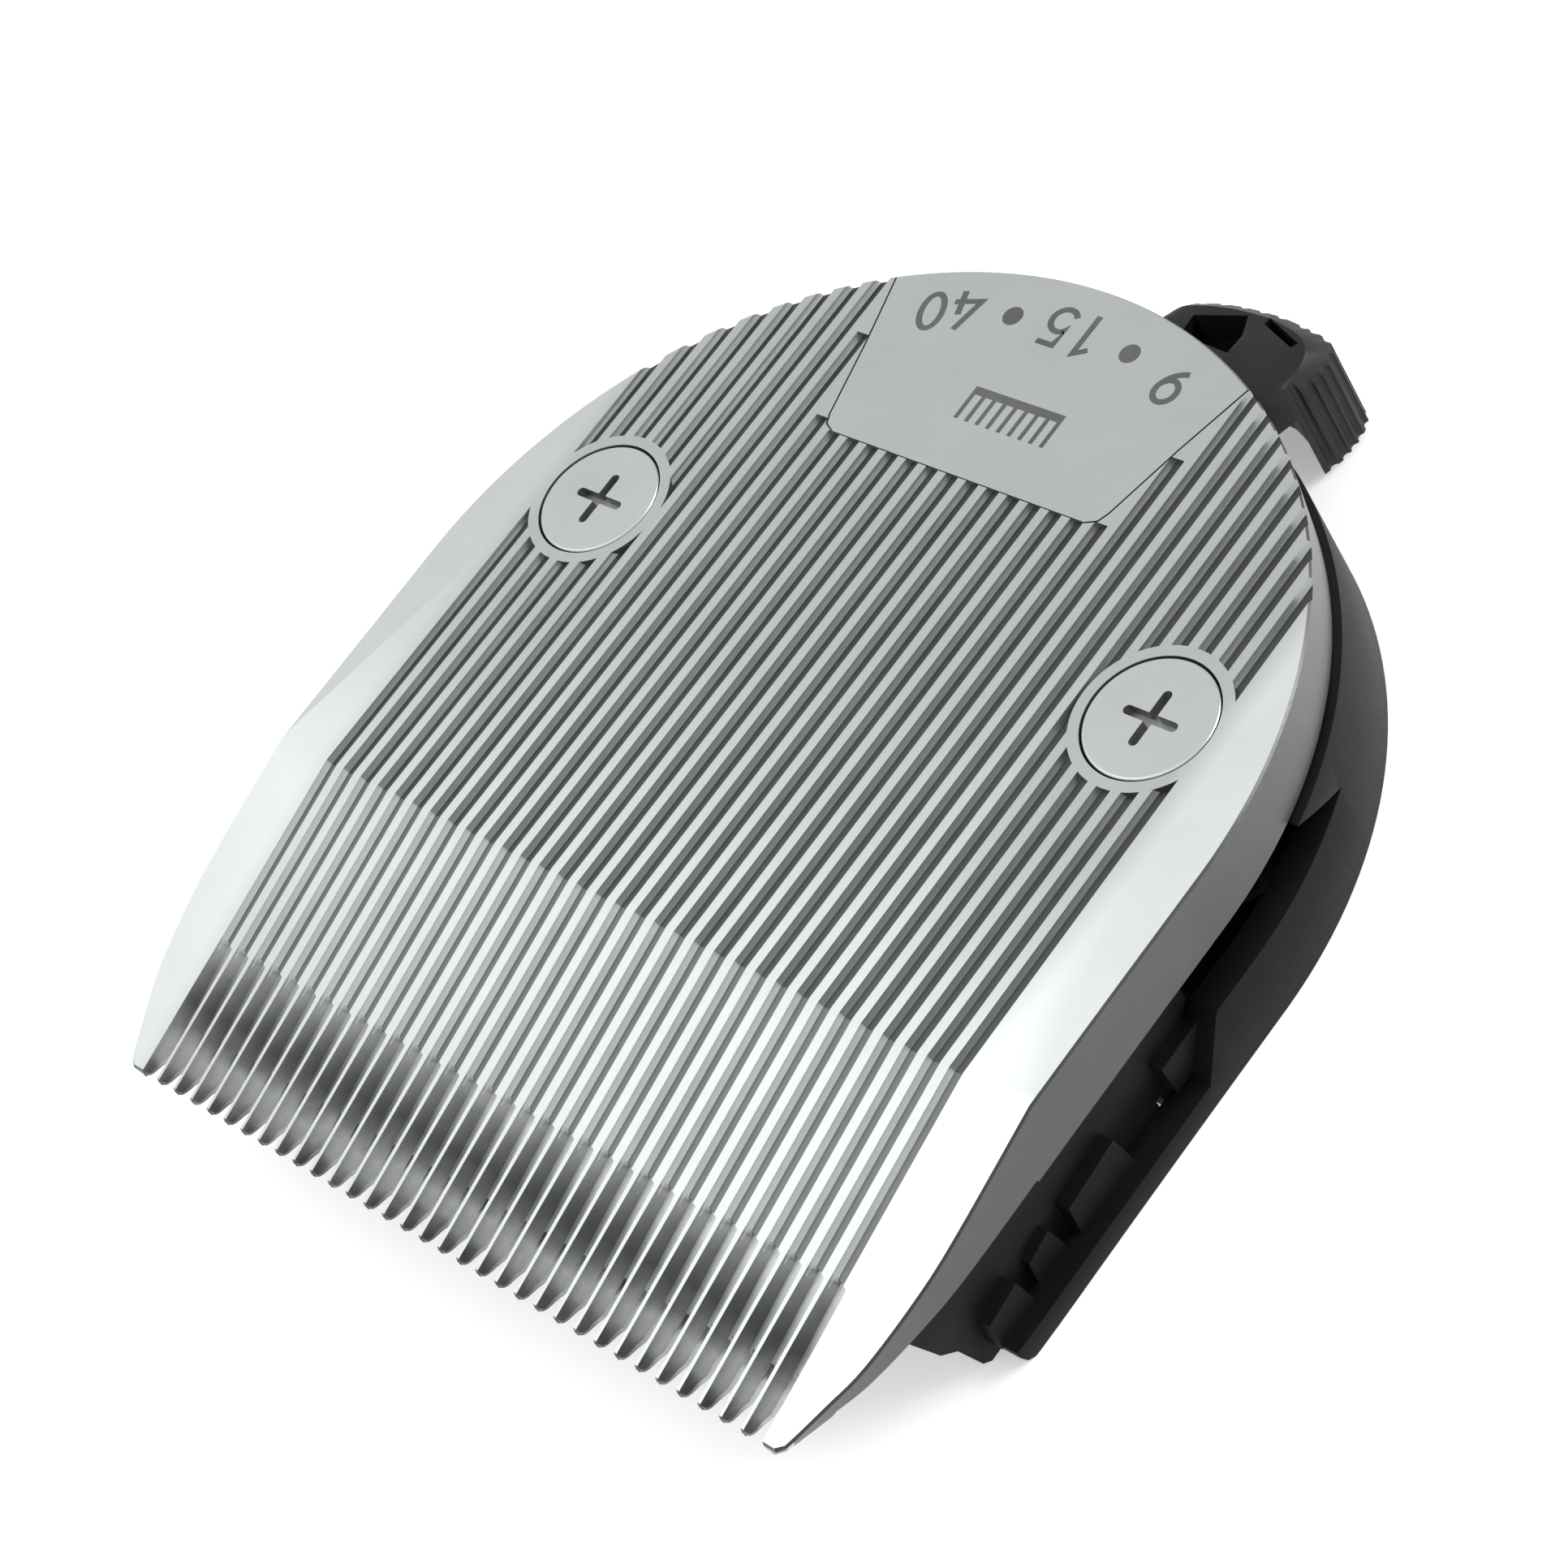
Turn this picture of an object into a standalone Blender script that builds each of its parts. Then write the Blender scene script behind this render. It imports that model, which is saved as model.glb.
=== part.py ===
"""Detachable adjustable hair-clipper blade set, built as separate pieces.

Frame: metres, +Z up through the ribbed outer face, teeth towards -Y, origin on the
underside seat on the adjusting lever's axis.  All driving sizes below are in millimetres
and are turned into metres when a mesh is made.
"""
import math

import bmesh
import bpy
from mathutils import Matrix, Vector

MM = 0.001
GAP = 0.3                     # clearance kept between pieces that touch

# --- comb blade -------------------------------------------------------------------
HEIGHT = 10.7                 # seat to ribbed face
REAR_RADIUS = 25.0            # rear half of the outline, centred on the lever axis
SIDE_X = 24.87                # half width where the side meets the front shoulder
SHOULDER_Y = -18.4            # start of the front shoulder arc
SHOULDER_RADIUS = 24.4
TIP_Y = -29.3                 # line of the tooth tips
CREASE_Y = -12.4              # the front bevel starts here
BEVEL_DEG = 11.0
COMB_BOTTOM = 6.65            # face that the moving cutter runs against
PLATE_THICKNESS = 1.9         # of the comb behind its solid front
SKIRT_THICKNESS = 1.5
POCKET_FRONT_Y = -9.0
PITCH = 1.30                  # tooth pitch
TOOTH_GAPS = 33
GROOVE_WIDTH = 0.80
GROOVE_DEPTH = 0.45
FLUTE_START_Y = -22.0         # the grooves deepen into tooth gaps from here
FLUTE_THROUGH_Y = -26.4       # and are right through from here to the tips
PLATE_FRONT_Y = 13.25         # un-grooved scale plate at the rear
PLATE_FRONT_X = 8.9
PLATE_REAR_X = 11.1
SCREW_X = 17.85
SCREW_Y = 5.55
BOSS_RADIUS = 3.87
HEAD_RADIUS = 3.25
HEAD_THICKNESS = 1.1
SHANK_RADIUS = 1.2

# --- base frame -------------------------------------------------------------------
FRAME_TOP = COMB_BOTTOM - GAP
WALL = 1.6
BAND_TOP = 4.05               # top of the side band below the window
WINDOW_REAR_Y = 8.8           # pointed rear end of the window
WINDOW_SLOPE = 5.0            # the window's upper edge leans forward by this much
BAND_FRONT_Y = -3.3           # the band drops to a rail in front of this
RAIL_TOP = 1.2
FRAME_FRONT_Y = -18.9
POST_RADIUS = 3.4
POST_TOP = 8.5
INSERT_RADIUS = 2.1

# --- lever ------------------------------------------------------------------------
STEP_DEG = 9.4                # between neighbouring positions
LEVER_REST_DEG = 12.0         # pad centre from +Y towards +X, second of five positions
PAD_HALF_DEG = 9.8
PAD_INNER = 26.7
PAD_OUTER = 29.5
PAD_BOTTOM = 0.35
ARM_BOTTOM = 4.1
ARM_TOP = 6.3
ARM_HALF_WIDTH = 2.6
HUB_RADIUS = 5.2
FAN_RADIUS = 13.0             # indexing sector with one hole for each position
FAN_HALF_DEG = 23.0
HOLE_ORBIT = 11.0
HOLE_RADIUS = 0.7
PIN_RADIUS = 1.6
PEG_RADIUS = 0.9
TRAVEL = 2.3                  # cutter travel over the whole swing
PEG_ORBIT = TRAVEL / (2 * math.sin(math.radians(2 * STEP_DEG)))

# --- carriage ---------------------------------------------------------------------
CARRIAGE_BOTTOM = 2.6
CARRIAGE_TOP = ARM_BOTTOM - GAP
CARRIAGE_HALF = 13.0
CARRIAGE_FRONT_Y = -15.3
RAIL_DEPTH = 1.3
STUD_X = 10.5
STUD_Y = -4.5
STUD_RADIUS = 1.3
COIL_Y = -12.5
COIL_Z = 2.9
COIL_RADIUS = 1.5
WIRE_RADIUS = 0.35

# --- cutter -----------------------------------------------------------------------
CUTTER_TOP = COMB_BOTTOM - GAP
CUTTER_BOTTOM = 5.15
CUTTER_TIP_Y = TIP_Y + 2.45
CUTTER_REAR_Y = CARRIAGE_FRONT_Y - GAP
CUTTER_HALF = 20.5
CUTTER_TEETH = 23
CUTTER_TOOTH_LENGTH = 3.8
DRIVER_HALF = 8.5
DRIVER_BOTTOM = 0.6
DRIVER_FRONT_Y = -22.4
DRIVER_REAR_Y = -16.0
DRIVE_SLOT_HALF = 2.6
RIVET_X = 6.7
RIVET_Y = -19.0

# --- bottom cover -----------------------------------------------------------------
COVER_TOP = 1.2
COVER_FRONT_Y = -6.5
COVER_SCREWS = ((-20.9, -4.2), (20.9, -4.2), (-11.2, 17.2), (11.2, 17.2))


def clear_scene():
    for obj in list(bpy.data.objects):
        bpy.data.objects.remove(obj, do_unlink=True)


def material(name, color, roughness, metallic):
    mat = bpy.data.materials.new(name)
    mat.use_nodes = True
    shader = mat.node_tree.nodes["Principled BSDF"]
    shader.inputs["Base Color"].default_value = (*color, 1.0)
    shader.inputs["Roughness"].default_value = roughness
    shader.inputs["Metallic"].default_value = metallic
    return mat


def new_object(name, bm, mat=None, smooth_deg=None):
    bmesh.ops.recalc_face_normals(bm, faces=bm.faces)
    mesh = bpy.data.meshes.new(name)
    bm.to_mesh(mesh)
    bm.free()
    obj = bpy.data.objects.new(name, mesh)
    bpy.context.scene.collection.objects.link(obj)
    finish(obj, mat, smooth_deg)
    return obj


def finish(obj, mat=None, smooth_deg=None):
    if mat is not None:
        obj.data.materials.clear()
        obj.data.materials.append(mat)
    if smooth_deg is not None:
        obj.data.shade_smooth()
        obj.data.set_sharp_from_angle(angle=math.radians(smooth_deg))


def extruded(points, direction):
    """Closed prism: the polygon of 3-D points in mm, swept along direction in mm."""
    bm = bmesh.new()
    base = [bm.verts.new(Vector(p) * MM) for p in points]
    top = [bm.verts.new((Vector(p) + Vector(direction)) * MM) for p in points]
    bm.faces.new(base)
    bm.faces.new(top)
    count = len(points)
    for i in range(count):
        j = (i + 1) % count
        bm.faces.new((base[i], base[j], top[j], top[i]))
    return bm


def prism(outline, z0, z1):
    return extruded([(x, y, z0) for x, y in outline], (0, 0, z1 - z0))


def side_prism(profile, x0, x1):
    return extruded([(x0, y, z) for y, z in profile], (x1 - x0, 0, 0))


def box(x0, x1, y0, y1, z0, z1):
    return prism([(x0, y0), (x1, y0), (x1, y1), (x0, y1)], z0, z1)


def circle(x, y, radius, count=40):
    step = 2 * math.pi / count
    return [(x + radius * math.cos(i * step), y + radius * math.sin(i * step)) for i in range(count)]


def disc(x, y, radius, z0, z1, count=40):
    return prism(circle(x, y, radius, count), z0, z1)


def turned(x, y, profile, count=32):
    """Solid of revolution about a vertical axis from (radius, z) points, bottom to top."""
    bm = bmesh.new()
    rings = []
    for radius, z in profile:
        rings.append([bm.verts.new(Vector((px, py, z)) * MM) for px, py in circle(x, y, radius, count)])
    bm.faces.new(rings[0])
    bm.faces.new(rings[-1])
    for low, high in zip(rings, rings[1:]):
        for i in range(count):
            j = (i + 1) % count
            bm.faces.new((low[i], low[j], high[j], high[i]))
    return bm


def joined(meshes):
    """One bmesh holding several closed, separate shapes."""
    total = bmesh.new()
    for part in meshes:
        bmesh.ops.recalc_face_normals(part, faces=part.faces)
        mesh = bpy.data.meshes.new("part")
        part.to_mesh(mesh)
        part.free()
        total.from_mesh(mesh)
        bpy.data.meshes.remove(mesh)
    return total


def combine(obj, bm, operation):
    """Apply an exact Boolean of obj with the shape in bm, and drop the tool."""
    tool = new_object("tool", bm)
    modifier = obj.modifiers.new("cut", "BOOLEAN")
    modifier.operation = operation
    modifier.solver = "EXACT"
    modifier.use_self = False
    modifier.object = tool
    evaluated = obj.evaluated_get(bpy.context.evaluated_depsgraph_get())
    mesh = bpy.data.meshes.new_from_object(evaluated)
    obj.modifiers.clear()
    old = obj.data
    obj.data = mesh
    bpy.data.meshes.remove(old)
    bpy.data.objects.remove(tool, do_unlink=True)


def cut(obj, *shapes):
    for bm in shapes:
        combine(obj, bm, "DIFFERENCE")


def add(obj, *shapes):
    for bm in shapes:
        combine(obj, bm, "UNION")


def arc(radius, start_deg, end_deg, steps, centre=(0.0, 0.0)):
    """Points on a circle; angles run counter-clockwise from +X."""
    points = []
    for i in range(steps + 1):
        angle = math.radians(start_deg + (end_deg - start_deg) * i / steps)
        points.append((centre[0] + radius * math.cos(angle), centre[1] + radius * math.sin(angle)))
    return points


def right_side(inset, front_y, steps):
    """Outline of the right side from the front up to the start of the rear arc."""
    centre_x = SIDE_X - SHOULDER_RADIUS
    radius = SHOULDER_RADIUS - inset
    points = []
    if front_y < SHOULDER_Y:
        sweep = math.degrees(math.asin((SHOULDER_Y - front_y) / radius))
        points += arc(radius, -sweep, 0, steps, (centre_x, SHOULDER_Y))
    else:
        points.append((SIDE_X - inset, front_y))
    points.append((REAR_RADIUS - inset, 0.0))
    return points


def outline(inset=0.0, front_y=TIP_Y, arc_steps=48, side_steps=6):
    right = right_side(inset, front_y, side_steps)
    rear = arc(REAR_RADIUS - inset, 0, 180, arc_steps)[1:-1]
    left = [(-x, y) for x, y in reversed(right)]
    return right + rear + left


def bevel_z(y):
    """Height of the ribbed face: level behind the crease, sloping down in front."""
    return HEIGHT + min(0.0, y - CREASE_Y) * math.tan(math.radians(BEVEL_DEG))


def polar(radius, deg_from_rear):
    """Point at an angle measured from +Y towards +X."""
    angle = math.radians(deg_from_rear)
    return (radius * math.sin(angle), radius * math.cos(angle))


def sector(inner, outer, start_deg, end_deg, steps):
    angles = [start_deg + (end_deg - start_deg) * i / steps for i in range(steps + 1)]
    return [polar(outer, a) for a in angles] + [polar(inner, a) for a in reversed(angles)]


# --- pieces -----------------------------------------------------------------------
def groove_tools():
    over = HEIGHT + 1.0
    start = -TOOTH_GAPS * PITCH / 2 + PITCH / 2
    profile = [
        (REAR_RADIUS + 2, HEIGHT - GROOVE_DEPTH),
        (CREASE_Y, HEIGHT - GROOVE_DEPTH),
        (FLUTE_START_Y, bevel_z(FLUTE_START_Y) - GROOVE_DEPTH),
        (FLUTE_THROUGH_Y, COMB_BOTTOM - 0.4),
        (TIP_Y - 2, COMB_BOTTOM - 0.4),
        (TIP_Y - 2, over),
        (REAR_RADIUS + 2, over),
    ]
    prisms = []
    for i in range(TOOTH_GAPS):
        x = start + i * PITCH
        prisms.append(side_prism(profile, x - GROOVE_WIDTH / 2, x + GROOVE_WIDTH / 2))
    return joined(prisms)


def make_comb(mat):
    comb = new_object("comb_blade", prism(outline(), COMB_BOTTOM, HEIGHT))
    above = HEIGHT + 2
    front = TIP_Y - 2
    cut(comb, side_prism([(CREASE_Y, HEIGHT), (front, bevel_z(front)), (front, above), (CREASE_Y, above)], -30, 30))
    pocket = outline(SKIRT_THICKNESS, POCKET_FRONT_Y)
    cut(comb, prism(pocket, COMB_BOTTOM - 1, HEIGHT - PLATE_THICKNESS))
    grooves = new_object("grooves", groove_tools())
    low, high = HEIGHT - 3, HEIGHT + 2
    plate = [(-PLATE_REAR_X, REAR_RADIUS + 4), (-PLATE_REAR_X, 22.3), (-PLATE_FRONT_X, PLATE_FRONT_Y + 0.6),
             (-PLATE_FRONT_X + 0.7, PLATE_FRONT_Y)]
    plate += [(-x, y) for x, y in reversed(plate)]
    cut(grooves, prism(plate, low, high))
    for side in (-1, 1):
        cut(grooves, disc(side * SCREW_X, SCREW_Y, BOSS_RADIUS, low, high))
    tool = bmesh.new()
    tool.from_mesh(grooves.data)
    bpy.data.objects.remove(grooves, do_unlink=True)
    cut(comb, tool)
    for side in (-1, 1):
        cut(comb, disc(side * SCREW_X, SCREW_Y, HEAD_RADIUS + 0.2, HEIGHT - HEAD_THICKNESS - 0.15, above))
        cut(comb, disc(side * SCREW_X, SCREW_Y, SHANK_RADIUS + 0.3, COMB_BOTTOM - 1, above, 24))
    finish(comb, mat, 20)
    return comb


def make_comb_screw(name, side, mat):
    x = side * SCREW_X
    top = HEIGHT - 0.04
    profile = [(SHANK_RADIUS, 2.8), (SHANK_RADIUS, top - HEAD_THICKNESS), (HEAD_RADIUS, top - HEAD_THICKNESS),
               (HEAD_RADIUS, top - 0.15), (HEAD_RADIUS - 0.15, top)]
    screw = new_object(name, turned(x, SCREW_Y, profile))
    arm, half = 1.55, 0.26
    cut(screw, box(x - arm, x + arm, SCREW_Y - half, SCREW_Y + half, top - 0.7, top + 1))
    cut(screw, box(x - half, x + half, SCREW_Y - arm, SCREW_Y + arm, top - 0.7, top + 1))
    finish(screw, mat, 30)
    return screw


def make_insert(name, side, mat):
    insert = new_object(name, disc(side * SCREW_X, SCREW_Y, INSERT_RADIUS, 2.6, 8.0, 24))
    cut(insert, disc(side * SCREW_X, SCREW_Y, SHANK_RADIUS + 0.15, 1, 9, 24))
    finish(insert, mat, 30)
    return insert


def window_profile():
    """Side view, (y, z), of what is removed above the band and the rail."""
    top = FRAME_TOP + 1
    return [(WINDOW_REAR_Y, BAND_TOP), (BAND_FRONT_Y, BAND_TOP), (BAND_FRONT_Y, RAIL_TOP),
            (FRAME_FRONT_Y - 2, RAIL_TOP), (FRAME_FRONT_Y - 2, top), (WINDOW_REAR_Y - WINDOW_SLOPE, top)]


def make_frame(mat):
    frame = new_object("base_frame", prism(outline(0.0, FRAME_FRONT_Y, 48, 2), 0, FRAME_TOP))
    cut(frame, prism(outline(WALL, FRAME_FRONT_Y - 3, 48, 2), -1, FRAME_TOP + 1))
    cut(frame, side_prism(window_profile(), -30, 30))
    nose_y = FRAME_FRONT_Y - 1
    cut(frame, side_prism([(nose_y, -1), (nose_y + 2, -1), (nose_y, 1)], -30, 30))
    for side in (-1, 1):
        x = side * SCREW_X
        cheek = [(-3.0, COVER_TOP + GAP), (-3.0, 5.0), (-9.0, 5.0), (-9.0, 3.6), (-12.5, 3.6), (-12.5, FRAME_TOP),
                 (-22.0, FRAME_TOP), (-20.6, 3.2), (-19.4, 3.2), (-18.2, 0.0), (-6.9, 0.0), (-6.9, COVER_TOP + GAP)]
        add(frame, side_prism(cheek, side * 22.1, side * 23.6))
        web = [(x, SCREW_Y - 1.0), (side * 24.0, SCREW_Y - 1.0), (side * 24.0, SCREW_Y + 1.0), (x, SCREW_Y + 1.0)]
        add(frame, disc(x, SCREW_Y, POST_RADIUS, 0, POST_TOP, 32), prism(web, 0, BAND_TOP - 0.6))
        cut(frame, disc(x, SCREW_Y, INSERT_RADIUS + 0.1, 2.4, HEIGHT, 24))
        ledge = [(side * 19.4, -6.2), (side * 23.9, -6.2), (side * 23.9, -2.4), (side * 19.4, -2.4)]
        add(frame, prism(ledge, COVER_TOP + GAP, 3.4))
        add(frame, prism(sector(18.8, 23.9, side * 29.0, side * 37.0, 3), COVER_TOP + GAP, 3.4))
    for x, y in COVER_SCREWS:
        cut(frame, disc(x, y, 0.75, COVER_TOP, 3.0, 20))
    middle = LEVER_REST_DEG - STEP_DEG
    reach = 2 * STEP_DEG + 7.5
    slot = sector(REAR_RADIUS - WALL - 0.6, REAR_RADIUS + 1.0, middle - reach, middle + reach, 14)
    cut(frame, prism(slot, ARM_BOTTOM - GAP, FRAME_TOP + 1))
    finish(frame, mat, 25)
    return frame


def make_cover(mat):
    cover = new_object("bottom_cover", prism(outline(WALL + GAP, COVER_FRONT_Y, 40, 2), 0, COVER_TOP))
    for side in (-1, 1):
        cut(cover, disc(side * SCREW_X, SCREW_Y, POST_RADIUS + GAP, -1, 3, 32))
        left, right = sorted((side * SCREW_X, side * 26))
        cut(cover, box(left, right, SCREW_Y - 1.3, SCREW_Y + 1.3, -1, 3))
    for x, y in COVER_SCREWS:
        cut(cover, disc(x, y, 1.4, -1, 0.7, 24), disc(x, y, 0.75, 0, 3, 20))
    finish(cover, mat, 25)
    return cover


def make_cover_screw(name, x, y, mat):
    screw = new_object(name, turned(x, y, [(1.15, 0.05), (1.15, 0.55), (0.55, 0.55), (0.55, 2.8)], 20))
    cut(screw, box(x - 0.7, x + 0.7, y - 0.15, y + 0.15, -1, 0.35))
    cut(screw, box(x - 0.15, x + 0.15, y - 0.7, y + 0.7, -1, 0.35))
    finish(screw, mat, 30)
    return screw


def make_lever(mat):
    rest = LEVER_REST_DEG
    lever = new_object("adjusting_lever", disc(0, 0, HUB_RADIUS, ARM_BOTTOM, ARM_TOP))
    add(lever, prism(sector(2.5, FAN_RADIUS, rest - FAN_HALF_DEG, rest + FAN_HALF_DEG, 16), ARM_BOTTOM, ARM_TOP))
    along = Vector((*polar(1.0, rest), 0.0))
    across = Vector((along.y, -along.x, 0.0)) * ARM_HALF_WIDTH
    arm = [along * 6 + across, along * 28 + across, along * 28 - across, along * 6 - across]
    add(lever, prism([(p.x, p.y) for p in arm], ARM_BOTTOM, ARM_TOP))
    shelf = sector(PAD_INNER - 1.3, PAD_OUTER, rest - PAD_HALF_DEG, rest + PAD_HALF_DEG, 12)
    add(lever, prism(shelf, ARM_BOTTOM, ARM_TOP))
    pad = sector(PAD_INNER, PAD_OUTER, rest - PAD_HALF_DEG, rest + PAD_HALF_DEG, 12)
    add(lever, prism(pad, PAD_BOTTOM, ARM_BOTTOM + 1))
    for i in range(7):
        x, y = polar(PAD_OUTER + 0.25, rest - PAD_HALF_DEG + 3.0 + 2.3 * i)
        cut(lever, disc(x, y, 0.42, PAD_BOTTOM - 1, 5.4, 12))
    cut(lever, prism(sector(27.2, 28.9, rest - PAD_HALF_DEG + 1.2, rest - 1.5, 6), ARM_TOP - 0.9, ARM_TOP + 1))
    cut(lever, disc(0, 0, PIN_RADIUS + 0.25, 0, HEIGHT, 32))
    for i in range(-2, 3):
        x, y = polar(HOLE_ORBIT, rest + i * STEP_DEG)
        cut(lever, disc(x, y, HOLE_RADIUS, 0, HEIGHT, 20))
    x, y = peg_centre()
    cut(lever, disc(x, y, PEG_RADIUS + 0.1, 0, ARM_TOP - 0.6, 24))
    finish(lever, mat, 25)
    return lever


def peg_centre():
    """The peg crosses -X half way through the swing, so the drive is nearly linear."""
    angle = math.radians(180.0 - STEP_DEG)
    return PEG_ORBIT * math.cos(angle), PEG_ORBIT * math.sin(angle)


def make_peg(mat):
    x, y = peg_centre()
    return new_object("lever_peg", disc(x, y, PEG_RADIUS, CARRIAGE_BOTTOM + 0.1, ARM_TOP - 0.75, 24), mat, 30)


def make_pin(mat):
    profile = [(PIN_RADIUS, COVER_TOP + GAP), (PIN_RADIUS, 8.0), (2.9, 8.0), (2.9, HEIGHT - PLATE_THICKNESS - GAP)]
    return new_object("pivot_pin", turned(0, 0, profile), mat, 30)


def make_washer(mat):
    washer = new_object("pivot_washer", disc(0, 0, 3.4, ARM_TOP + 0.2, ARM_TOP + 0.65, 32))
    cut(washer, disc(0, 0, PIN_RADIUS + 0.25, 0, HEIGHT, 32))
    finish(washer, mat, 30)
    return washer


def make_detent(mat):
    low, high = 7.15, 7.55
    angle = LEVER_REST_DEG - STEP_DEG
    spring = new_object("detent_spring", disc(0, 0, 3.4, low, high, 32))
    along = Vector((*polar(1.0, angle), 0.0))
    across = Vector((along.y, -along.x, 0.0)) * 1.3
    strip = [along * 2 + across, along * 12.5 + across, along * 12.5 - across, along * 2 - across]
    add(spring, prism([(p.x, p.y) for p in strip], low, high))
    x, y = polar(HOLE_ORBIT, angle)
    add(spring, turned(x, y, [(0.3, ARM_TOP + 0.15), (0.6, ARM_TOP + 0.35), (0.6, high - 0.1)], 20))
    cut(spring, disc(0, 0, PIN_RADIUS + 0.25, 0, HEIGHT, 32))
    finish(spring, mat, 30)
    return spring


def slot_outline(x, y, radius, half_length):
    """Slot with round ends, long in Y."""
    return arc(radius, 0, 180, 10, (x, y + half_length)) + arc(radius, 180, 360, 10, (x, y - half_length))


def make_carriage(mat):
    half, ear, front = CARRIAGE_HALF, CARRIAGE_HALF + 3.0, CARRIAGE_FRONT_Y
    right = [(half, front), (half, -10.3), (ear, -10.3), (ear, -6.5), (half, -6.5), (half, -1.5), (7.5, 1.5), (7.5, 4.4)]
    shape = right + [(-x, y) for x, y in reversed(right)]
    carriage = new_object("carriage", prism(shape, CARRIAGE_BOTTOM, CARRIAGE_TOP))
    for side in (-1, 1):
        centre = [(side * (half - 1.0), COIL_Y + 0.85 * math.cos(a), COIL_Z + 0.85 * math.sin(a))
                  for a in (math.radians(22.5 * i) for i in range(16))]
        add(carriage, extruded(centre, (side * 4.0, 0, 0)))
        cut(carriage, prism(slot_outline(side * STUD_X, STUD_Y + 0.6, STUD_RADIUS + GAP, 1.5), 0, HEIGHT))
    cut(carriage, prism(slot_outline(0, 0.6, PIN_RADIUS + GAP, 1.5), 0, HEIGHT))
    x, y = peg_centre()
    gap = PEG_RADIUS + 0.12
    cut(carriage, box(x - gap - 0.2, x + gap + 0.2, y - gap, y + gap, 0, HEIGHT))
    finish(carriage, mat, 25)
    return carriage


def make_rail(mat):
    y0 = CARRIAGE_FRONT_Y
    shape = box(-12.4, 12.4, y0, y0 + RAIL_DEPTH, CARRIAGE_TOP + GAP, CUTTER_TOP - 0.05)
    return new_object("guide_rail", shape, mat)


def make_stud(name, side, mat):
    profile = [(2.3, 1.6), (2.3, CARRIAGE_BOTTOM - 0.25), (STUD_RADIUS, CARRIAGE_BOTTOM - 0.25),
               (STUD_RADIUS, HEIGHT - PLATE_THICKNESS - GAP)]
    return new_object(name, turned(side * STUD_X, STUD_Y, profile, 28), mat, 30)


def tube(path, radius, sides=8):
    """Round wire along a path of points in mm, with flat ends."""
    bm = bmesh.new()
    points = [Vector(p) for p in path]
    rings = []
    normal = None
    for i, point in enumerate(points):
        ahead = points[min(i + 1, len(points) - 1)] - points[max(i - 1, 0)]
        tangent = ahead.normalized()
        if normal is None:
            normal = tangent.orthogonal().normalized()
        normal = (normal - tangent * normal.dot(tangent)).normalized()
        side = tangent.cross(normal)
        ring = []
        for k in range(sides):
            angle = 2 * math.pi * k / sides
            ring.append(bm.verts.new((point + radius * (normal * math.cos(angle) + side * math.sin(angle))) * MM))
        rings.append(ring)
    bm.faces.new(rings[0])
    bm.faces.new(rings[-1])
    for low, high in zip(rings, rings[1:]):
        for k in range(sides):
            j = (k + 1) % sides
            bm.faces.new((low[k], low[j], high[j], high[k]))
    return bm


def make_spring(name, side, mat):
    """Torsion spring: the front leg lifts the cutter, the rear leg bears on the carriage."""
    turns, per_turn = 2.5, 16
    total = int(turns * per_turn)
    inner = CARRIAGE_HALF + 0.75
    path = [(side * inner, COIL_Y - 6.0, CUTTER_BOTTOM - WIRE_RADIUS - 0.1),
            (side * inner, COIL_Y - 2.0, COIL_Z + COIL_RADIUS + 0.05)]
    for i in range(total + 1):
        angle = math.radians(90 + 360.0 * i / per_turn)
        x = side * (inner + 2.0 * i / total)
        path.append((x, COIL_Y + COIL_RADIUS * math.cos(angle), COIL_Z + COIL_RADIUS * math.sin(angle)))
    path.append((side * (inner + 2.0), COIL_Y + 2.0, COIL_Z - COIL_RADIUS + 0.05))
    path.append((side * (inner + 2.0), COIL_Y + 4.6, CARRIAGE_BOTTOM - WIRE_RADIUS - 0.1))
    return new_object(name, tube(path, WIRE_RADIUS), mat, 50)


def make_cutter(mat):
    pitch = 2 * CUTTER_HALF / (CUTTER_TEETH - 0.45)
    root = CUTTER_TIP_Y + CUTTER_TOOTH_LENGTH
    shape = [(CUTTER_HALF, CUTTER_REAR_Y), (-CUTTER_HALF, CUTTER_REAR_Y)]
    for i in range(CUTTER_TEETH):
        x = -CUTTER_HALF + i * pitch
        shape += [(x, root), (x + 0.15, CUTTER_TIP_Y), (x + 0.40 * pitch, CUTTER_TIP_Y), (x + 0.55 * pitch, root)]
    return new_object("cutter_blade", prism(shape, CUTTER_BOTTOM, CUTTER_TOP), mat)


def make_driver(mat):
    top = CUTTER_BOTTOM - 0.2
    driver = new_object("cutter_driver", box(-DRIVER_HALF, DRIVER_HALF, DRIVER_FRONT_Y, DRIVER_REAR_Y, 3.4, top))
    prong = DRIVE_SLOT_HALF + 2.2
    add(driver, box(-prong, prong, DRIVER_FRONT_Y, DRIVER_REAR_Y, DRIVER_BOTTOM, 3.9))
    cut(driver, box(-DRIVE_SLOT_HALF, DRIVE_SLOT_HALF, DRIVER_FRONT_Y - 1, DRIVER_REAR_Y - 1.3, 0, 8))
    for side in (-1, 1):
        cut(driver, disc(side * RIVET_X, RIVET_Y, 0.95, 0, 8, 20))
    finish(driver, mat, 25)
    return driver


def make_rivet(name, side, mat):
    profile = [(1.3, 2.75), (1.3, 3.25), (0.8, 3.25), (0.8, CUTTER_BOTTOM - 0.15)]
    return new_object(name, turned(side * RIVET_X, RIVET_Y, profile, 20), mat, 30)


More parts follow.
